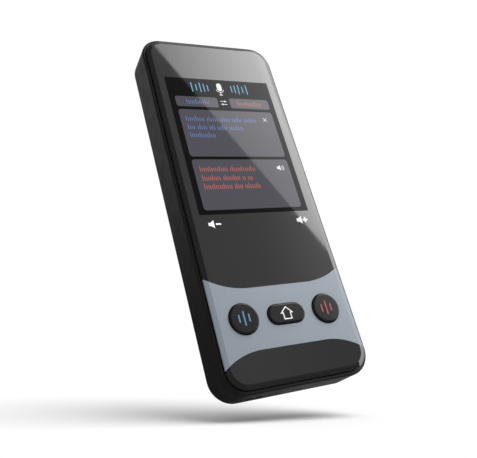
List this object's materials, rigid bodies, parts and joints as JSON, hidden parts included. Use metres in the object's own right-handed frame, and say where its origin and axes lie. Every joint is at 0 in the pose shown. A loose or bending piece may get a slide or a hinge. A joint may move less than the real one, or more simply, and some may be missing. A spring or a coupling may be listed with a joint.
{
  "type": "handheld translator",
  "caption": "Slim pocket translator: black casing, glossy front panel with a colour display, and a grey-blue band with two round keys around an oblong home key.",
  "frame": {"origin": "centre of the casing's outline in the plane of its back face", "axes": "+X to the right across the device seen from the front, +Y towards its top end, +Z out through the display"},
  "size_m": [0.0467, 0.1162, 0.0132],
  "materials": {
    "casing_black": "fine satin texture, moulded black",
    "panel_black": "polished gloss black with a hard coat",
    "band_grey_blue": "polished gloss grey-blue",
    "window_clear": "clear, polished",
    "display_glass": "dark polariser over glass",
    "tray_white": "moulded white tray",
    "flex_amber": "polyimide film",
    "key_black": "satin black",
    "plunger_red": "moulded",
    "switch_steel": "stamped sheet over moulded base",
    "board_green": "glass-epoxy board with solder mask",
    "can_steel": "tinned sheet",
    "chip_black": "moulded epoxy",
    "screw_steel": "machined, zinc plated",
    "pouch_foil": "aluminium laminate foil",
    "tape_cream": "double-sided tape",
    "lead_red": "silicone insulation",
    "connector_ivory": "moulded nylon",
    "speaker_black": "moulded basket",
    "cone_grey": "formed film",
    "magnet_grey": "plated magnet",
    "gasket_foam": "closed-cell foam",
    "mesh_cloth": "fine woven mesh",
    "shell_steel": "deep drawn, nickel plated",
    "tongue_black": "moulded",
    "mic_metal": "gold-plated can",
    "boot_rubber": "moulded silicone"
  },
  "bodies": {
    "casing": {"housing": "casing_black", "panel_frame": "casing_black", "front_panel": "panel_black", "key_band": "band_grey_blue", "display_window": "window_clear", "lcd_panel": "display_glass", "backlight_tray": "tray_white", "display_flex": "flex_amber", "flex_connector": "connector_ivory", "volume_touch_strip": "flex_amber", "key_switches": "switch_steel", "power_switch": "switch_steel", "main_board": "board_green", "shield_can": "can_steel", "processor": "chip_black", "memory_chip": "chip_black", "board_screws": "screw_steel", "frame_screws": "screw_steel", "battery": "pouch_foil", "battery_tape": "tape_cream", "battery_leads": "lead_red", "battery_connector": "connector_ivory", "speaker_basket": "speaker_black", "speaker_cone": "cone_grey", "speaker_magnet": "magnet_grey", "speaker_gasket": "gasket_foam", "speaker_mesh": "mesh_cloth", "usb_shell": "shell_steel", "usb_tongue": "tongue_black", "microphone": "mic_metal", "microphone_boot": "boot_rubber", "antenna": "flex_amber"},
    "left_key": {"left_key": "key_black", "left_plunger": "plunger_red"},
    "home_key": {"home_key": "key_black", "home_plunger": "plunger_red"},
    "right_key": {"right_key": "key_black", "right_plunger": "plunger_red"},
    "power_key": {"power_key": "casing_black", "power_plunger": "plunger_red"}
  },
  "joints": [
    {"name": "left_key_press", "type": "slide", "parent": "casing", "child": "left_key", "axis": [0, 0, -1], "range_m": [0, 0.00035], "stiffness_N_per_m": 4500},
    {"name": "home_key_press", "type": "slide", "parent": "casing", "child": "home_key", "axis": [0, 0, -1], "range_m": [0, 0.00035], "stiffness_N_per_m": 4500},
    {"name": "right_key_press", "type": "slide", "parent": "casing", "child": "right_key", "axis": [0, 0, -1], "range_m": [0, 0.00035], "stiffness_N_per_m": 4500},
    {"name": "power_key_press", "type": "slide", "parent": "casing", "child": "power_key", "axis": [-1, 0, 0], "range_m": [0, 0.00025], "stiffness_N_per_m": 6000}
  ]
}
